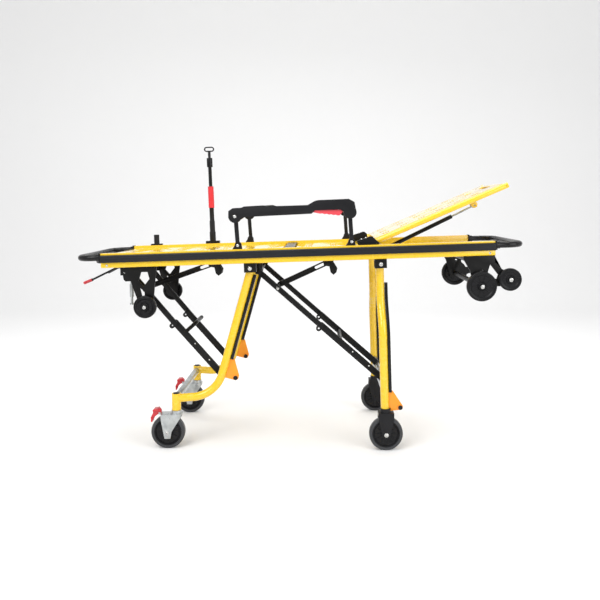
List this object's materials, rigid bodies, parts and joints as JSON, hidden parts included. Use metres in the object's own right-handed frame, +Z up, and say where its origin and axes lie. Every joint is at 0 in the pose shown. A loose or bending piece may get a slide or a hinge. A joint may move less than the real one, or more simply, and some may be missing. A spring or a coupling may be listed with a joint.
{
  "type": "automatic-loading ambulance stretcher",
  "caption": "Wheeled ambulance stretcher whose two leg frames fold under the bed as it rolls in, with tilting backrest, folding side grips, loading wheels and drip pole.",
  "frame": {"origin": "on the floor, under the middle of the stretcher's bounding box", "axes": "+X towards the head end along the bed, -Y the patient's left side, +Z up"},
  "size_m": [1.9893, 0.592, 1.386],
  "materials": {
    "yellow_paint": "gloss powder coat",
    "yellow_sheet": "gloss powder coat",
    "amber_plate": "satin",
    "bumper": "satin",
    "black_tube": "gloss powder coat",
    "black_steel": "satin powder coat",
    "black_plastic": "moulded satin",
    "zinc": "zinc plated",
    "pole_steel": "satin",
    "brake_red": "gloss",
    "trigger_red": "satin",
    "wheel_grey": "satin",
    "wheel_black": "satin"
  },
  "bodies": {
    "bed_frame": {"side_rail_left": "yellow_paint", "side_rail_right": "yellow_paint", "bumper_strips": "bumper", "foot_handle": "black_tube", "head_handle": "black_tube", "leg_panel": "yellow_sheet", "seat_panel": "yellow_sheet", "cross_members": "black_tube", "pivot_blocks": "black_steel", "backrest_brackets": "black_steel", "loading_brackets": "black_steel", "transport_forks": "black_steel", "under_brackets": "black_steel", "rail_sockets": "black_plastic", "handrail_feet": "black_plastic", "lock_plunger": "zinc"},
    "foot_legs": {"foot_leg_left": "yellow_paint", "foot_leg_right": "yellow_paint", "foot_cross_tubes": "zinc", "foot_leg_plates": "amber_plate"},
    "head_legs": {"head_leg_left": "yellow_paint", "head_leg_right": "yellow_paint", "head_cross_tubes": "zinc", "head_leg_plates": "amber_plate", "head_forks": "black_plastic"},
    "backrest": {"backrest_frame": "yellow_paint", "backrest_panel": "yellow_sheet"},
    "release_bar_body": {"release_bar": "black_tube"},
    "release_lever_body": {"release_lever": "black_tube"},
    "foot_upper_brace_body": {"foot_upper_brace": "black_steel"},
    "foot_lower_brace_body": {"foot_lower_brace": "black_steel"},
    "foot_link_body": {"foot_link": "black_steel"},
    "head_upper_brace_body": {"head_upper_brace": "black_steel"},
    "head_lower_brace_body": {"head_lower_brace": "black_steel"},
    "head_link_body": {"head_link": "black_steel"},
    "caster_fork_left_body": {"caster_fork_left": "zinc"},
    "caster_fork_right_body": {"caster_fork_right": "zinc"},
    "caster_wheel_left_body": {"caster_wheel_left": "wheel_grey"},
    "caster_wheel_right_body": {"caster_wheel_right": "wheel_grey"},
    "brake_pedal_left_body": {"brake_pedal_left": "brake_red"},
    "brake_pedal_right_body": {"brake_pedal_right": "brake_red"},
    "head_wheel_left_body": {"head_wheel_left": "wheel_grey"},
    "head_wheel_right_body": {"head_wheel_right": "wheel_grey"},
    "load_wheel_left_body": {"load_wheel_left": "wheel_black"},
    "load_wheel_right_body": {"load_wheel_right": "wheel_black"},
    "tip_wheel_left_body": {"tip_wheel_left": "wheel_black"},
    "tip_wheel_right_body": {"tip_wheel_right": "wheel_black"},
    "transport_wheel_left_body": {"transport_wheel_left": "wheel_black"},
    "transport_wheel_right_body": {"transport_wheel_right": "wheel_black"},
    "strut_cylinder_body": {"strut_cylinder": "black_steel"},
    "strut_rod_body": {"strut_rod": "zinc"},
    "foot_post_left_body": {"foot_post_left": "black_plastic"},
    "foot_post_right_body": {"foot_post_right": "black_plastic"},
    "head_post_left_body": {"head_post_left": "black_plastic"},
    "head_post_right_body": {"head_post_right": "black_plastic"},
    "grip_bar_left_body": {"grip_bar_left": "black_plastic"},
    "grip_bar_right_body": {"grip_bar_right": "black_plastic"},
    "grip_trigger_left_body": {"grip_trigger_left": "trigger_red"},
    "grip_trigger_right_body": {"grip_trigger_right": "trigger_red"},
    "drip_pole_body": {"drip_pole": "pole_steel"}
  },
  "joints": [
    {"name": "head_leg_fold", "type": "hinge", "parent": "bed_frame", "child": "head_legs", "pos_m": [0.35682, 0, 0.8286], "axis": [0, 1, 0], "range_deg": [0, 82]},
    {"name": "foot_leg_fold", "type": "hinge", "parent": "bed_frame", "child": "foot_legs", "pos_m": [-0.2176, 0, 0.8095], "axis": [0, 1, 0], "range_deg": [0, 53]},
    {"name": "head_brace_upper", "type": "hinge", "parent": "bed_frame", "child": "head_upper_brace_body", "pos_m": [-0.19, 0, 0.785], "axis": [0, 1, 0], "range_deg": [-50.27, 0.5]},
    {"name": "head_brace_lower", "type": "hinge", "parent": "head_legs", "child": "head_lower_brace_body", "pos_m": [0.38, 0, 0.285], "axis": [0, 1, 0], "range_deg": [-0.5, 45.6]},
    {"name": "head_link_swing", "type": "hinge", "parent": "head_upper_brace_body", "child": "head_link_body", "pos_m": [-0.103, 0, 0.706], "axis": [0, 1, 0], "range_deg": [-0.5, 72.35]},
    {"name": "foot_brace_upper", "type": "hinge", "parent": "bed_frame", "child": "foot_upper_brace_body", "pos_m": [-0.779, 0, 0.787], "axis": [0, 1, 0], "range_deg": [-61.46, 0.5]},
    {"name": "foot_brace_lower", "type": "hinge", "parent": "foot_legs", "child": "foot_lower_brace_body", "pos_m": [-0.365, 0, 0.305], "axis": [0, 1, 0], "range_deg": [-0.5, 41.46]},
    {"name": "foot_link_swing", "type": "hinge", "parent": "foot_upper_brace_body", "child": "foot_link_body", "pos_m": [-0.708, 0, 0.704], "axis": [0, 1, 0], "range_deg": [-0.5, 82.19]},
    {"name": "caster_swivel_left", "type": "hinge", "parent": "foot_legs", "child": "caster_fork_left_body", "pos_m": [-0.553, -0.24, 0.173], "axis": [0, 0, 1], "continuous": true},
    {"name": "caster_roll_left", "type": "hinge", "parent": "caster_fork_left_body", "child": "caster_wheel_left_body", "pos_m": [-0.5905, -0.24, 0.075], "axis": [0, 1, 0], "continuous": true},
    {"name": "brake_left", "type": "hinge", "parent": "caster_fork_left_body", "child": "brake_pedal_left_body", "pos_m": [-0.6265, -0.24, 0.159], "axis": [0, 1, 0], "range_deg": [-5, 0]},
    {"name": "head_wheel_roll_left", "type": "hinge", "parent": "head_legs", "child": "head_wheel_left_body", "pos_m": [0.383, -0.266, 0.075], "axis": [0, 1, 0], "continuous": true},
    {"name": "load_wheel_roll_left", "type": "hinge", "parent": "bed_frame", "child": "load_wheel_left_body", "pos_m": [0.796, -0.277, 0.733], "axis": [0, 1, 0], "continuous": true},
    {"name": "tip_wheel_roll_left", "type": "hinge", "parent": "bed_frame", "child": "tip_wheel_left_body", "pos_m": [0.92, -0.277, 0.763], "axis": [0, 1, 0], "continuous": true},
    {"name": "transport_wheel_roll_left", "type": "hinge", "parent": "bed_frame", "child": "transport_wheel_left_body", "pos_m": [-0.68, -0.262, 0.64], "axis": [0, 1, 0], "continuous": true},
    {"name": "grip_fold_left", "type": "hinge", "parent": "bed_frame", "child": "foot_post_left_body", "pos_m": [-0.26962, -0.263, 0.91151], "axis": [0, 1, 0], "range_deg": [-76, 0]},
    {"name": "grip_head_post_left", "type": "hinge", "parent": "bed_frame", "child": "head_post_left_body", "pos_m": [0.22871, -0.263, 0.92778], "axis": [0, 1, 0], "range_deg": [-76.5, 0.5]},
    {"name": "grip_bar_level_left", "type": "hinge", "parent": "foot_post_left_body", "child": "grip_bar_left_body", "pos_m": [-0.27856, -0.28, 1.03828], "axis": [0, 1, 0], "range_deg": [-0.5, 76.5]},
    {"name": "trigger_left", "type": "hinge", "parent": "grip_bar_left_body", "child": "grip_trigger_left_body", "pos_m": [0.06078, -0.28, 1.06407], "axis": [0, 1, 0], "range_deg": [-4, 0], "stiffness_Nm_per_rad": 2, "springref_deg": 5.73},
    {"name": "caster_swivel_right", "type": "hinge", "parent": "foot_legs", "child": "caster_fork_right_body", "pos_m": [-0.553, 0.24, 0.173], "axis": [0, 0, 1], "continuous": true},
    {"name": "caster_roll_right", "type": "hinge", "parent": "caster_fork_right_body", "child": "caster_wheel_right_body", "pos_m": [-0.5905, 0.24, 0.075], "axis": [0, 1, 0], "continuous": true},
    {"name": "brake_right", "type": "hinge", "parent": "caster_fork_right_body", "child": "brake_pedal_right_body", "pos_m": [-0.6265, 0.24, 0.159], "axis": [0, 1, 0], "range_deg": [-5, 0]},
    {"name": "head_wheel_roll_right", "type": "hinge", "parent": "head_legs", "child": "head_wheel_right_body", "pos_m": [0.383, 0.266, 0.075], "axis": [0, 1, 0], "continuous": true},
    {"name": "load_wheel_roll_right", "type": "hinge", "parent": "bed_frame", "child": "load_wheel_right_body", "pos_m": [0.796, 0.277, 0.733], "axis": [0, 1, 0], "continuous": true},
    {"name": "tip_wheel_roll_right", "type": "hinge", "parent": "bed_frame", "child": "tip_wheel_right_body", "pos_m": [0.92, 0.277, 0.763], "axis": [0, 1, 0], "continuous": true},
    {"name": "transport_wheel_roll_right", "type": "hinge", "parent": "bed_frame", "child": "transport_wheel_right_body", "pos_m": [-0.68, 0.262, 0.64], "axis": [0, 1, 0], "continuous": true},
    {"name": "grip_fold_right", "type": "hinge", "parent": "bed_frame", "child": "foot_post_right_body", "pos_m": [-0.26962, 0.263, 0.91151], "axis": [0, 1, 0], "range_deg": [-76, 0]},
    {"name": "grip_head_post_right", "type": "hinge", "parent": "bed_frame", "child": "head_post_right_body", "pos_m": [0.22871, 0.263, 0.92778], "axis": [0, 1, 0], "range_deg": [-76.5, 0.5]},
    {"name": "grip_bar_level_right", "type": "hinge", "parent": "foot_post_right_body", "child": "grip_bar_right_body", "pos_m": [-0.27856, 0.28, 1.03828], "axis": [0, 1, 0], "range_deg": [-0.5, 76.5]},
    {"name": "trigger_right", "type": "hinge", "parent": "grip_bar_right_body", "child": "grip_trigger_right_body", "pos_m": [0.06078, 0.28, 1.06407], "axis": [0, 1, 0], "range_deg": [-4, 0], "stiffness_Nm_per_rad": 2, "springref_deg": 5.73},
    {"name": "backrest_tilt", "type": "hinge", "parent": "bed_frame", "child": "backrest", "pos_m": [0.33622, 0, 0.91098], "axis": [0, 1, 0], "range_deg": [-49, 21.4]},
    {"name": "strut_swing", "type": "hinge", "parent": "bed_frame", "child": "strut_cylinder_body", "pos_m": [0.4, 0, 0.876], "axis": [0, 1, 0], "range_deg": [-51.69, 22.86]},
    {"name": "strut_stroke", "type": "slide", "parent": "strut_cylinder_body", "child": "strut_rod_body", "axis": [0.8978, 0, 0.4405], "range_m": [-0.03, 0.065]},
    {"name": "drip_pole_slide", "type": "slide", "parent": "bed_frame", "child": "drip_pole_body", "axis": [-0.0326, 0, 0.9995], "range_m": [-0.095, 0.06]},
    {"name": "release_squeeze", "type": "slide", "parent": "bed_frame", "child": "release_bar_body", "axis": [-0.9995, 0, -0.0326], "range_m": [0, 0.022], "stiffness_N_per_m": 800, "springref_m": -0.005},
    {"name": "release_lever_pull", "type": "hinge", "parent": "bed_frame", "child": "release_lever_body", "pos_m": [-0.8, 0, 0.812], "axis": [0, 1, 0], "range_deg": [0, 9], "stiffness_Nm_per_rad": 3, "springref_deg": -8.59}
  ],
  "couplings": [
    {"joint": "head_brace_upper", "follows": "head_leg_fold", "ratio": -0.60697},
    {"joint": "head_brace_lower", "follows": "head_leg_fold", "ratio": 0.55005},
    {"joint": "head_link_swing", "follows": "head_leg_fold", "ratio": 0.87624},
    {"joint": "foot_brace_upper", "follows": "foot_leg_fold", "ratio": -1.1503},
    {"joint": "foot_brace_lower", "follows": "foot_leg_fold", "ratio": 0.7728},
    {"joint": "foot_link_swing", "follows": "foot_leg_fold", "ratio": 1.5413},
    {"joint": "grip_head_post_left", "follows": "grip_fold_left", "ratio": 1},
    {"joint": "grip_bar_level_left", "follows": "grip_fold_left", "ratio": -1},
    {"joint": "grip_head_post_right", "follows": "grip_fold_right", "ratio": 1},
    {"joint": "grip_bar_level_right", "follows": "grip_fold_right", "ratio": -1},
    {"joint": "strut_swing", "follows": "backrest_tilt", "ratio": 1.0448},
    {"joint": "strut_stroke", "follows": "backrest_tilt", "m_per_rad": -0.067075}
  ]
}
